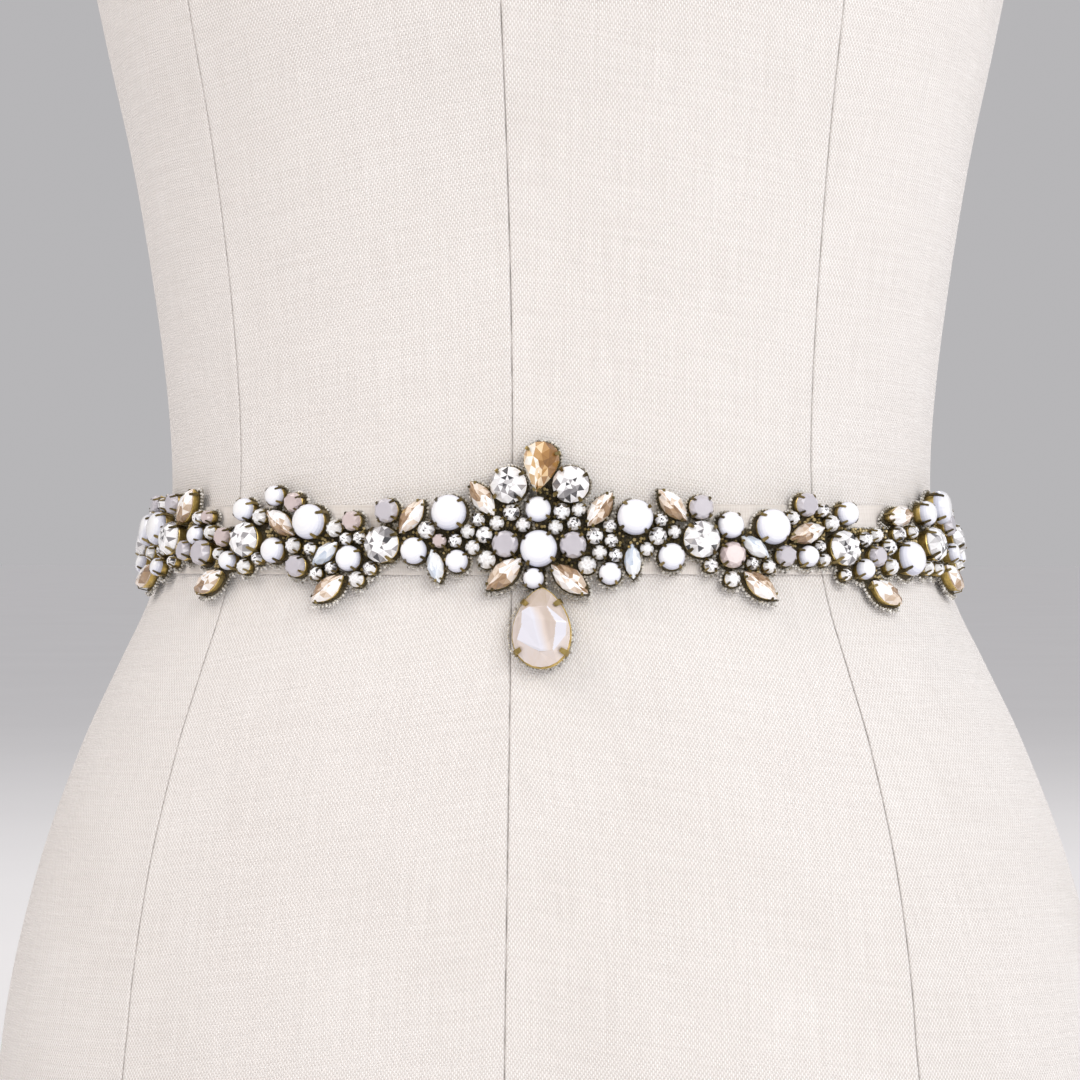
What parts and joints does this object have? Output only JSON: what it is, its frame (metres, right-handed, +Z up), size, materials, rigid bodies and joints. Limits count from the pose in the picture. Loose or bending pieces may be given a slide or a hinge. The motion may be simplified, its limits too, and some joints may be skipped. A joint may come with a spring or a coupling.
{
  "type": "jewelled bridal sash on a limbless dress form",
  "caption": "Ivory ribbon sash with a raised crystal applique and a pear drop, worn round the waist of a limbless linen dress form that stands on its flat base.",
  "frame": {"origin": "middle of the flat base that the dress form stands on", "axes": "+Z up, -Y towards the front with the pear drop, +X to the left of a wearer"},
  "size_m": [0.364, 0.254, 0.702],
  "materials": {
    "form_cover": "cream linen, plain weave, stretched smooth over the form",
    "ribbon_satin": "ivory ribbon with a fine cross rib and a soft sheen",
    "applique_stones": "white, opal, clear and champagne stones in antique gold settings on a dark backing",
    "setting_gold": "antique gold, softly polished",
    "drop_glass": "polished ivory glass with a milky body"
  },
  "bodies": {
    "root": {"dress_form": "form_cover", "ribbon": "ribbon_satin", "applique": "applique_stones", "drop_setting": "setting_gold", "drop_stone": "drop_glass"}
  },
  "joints": []
}
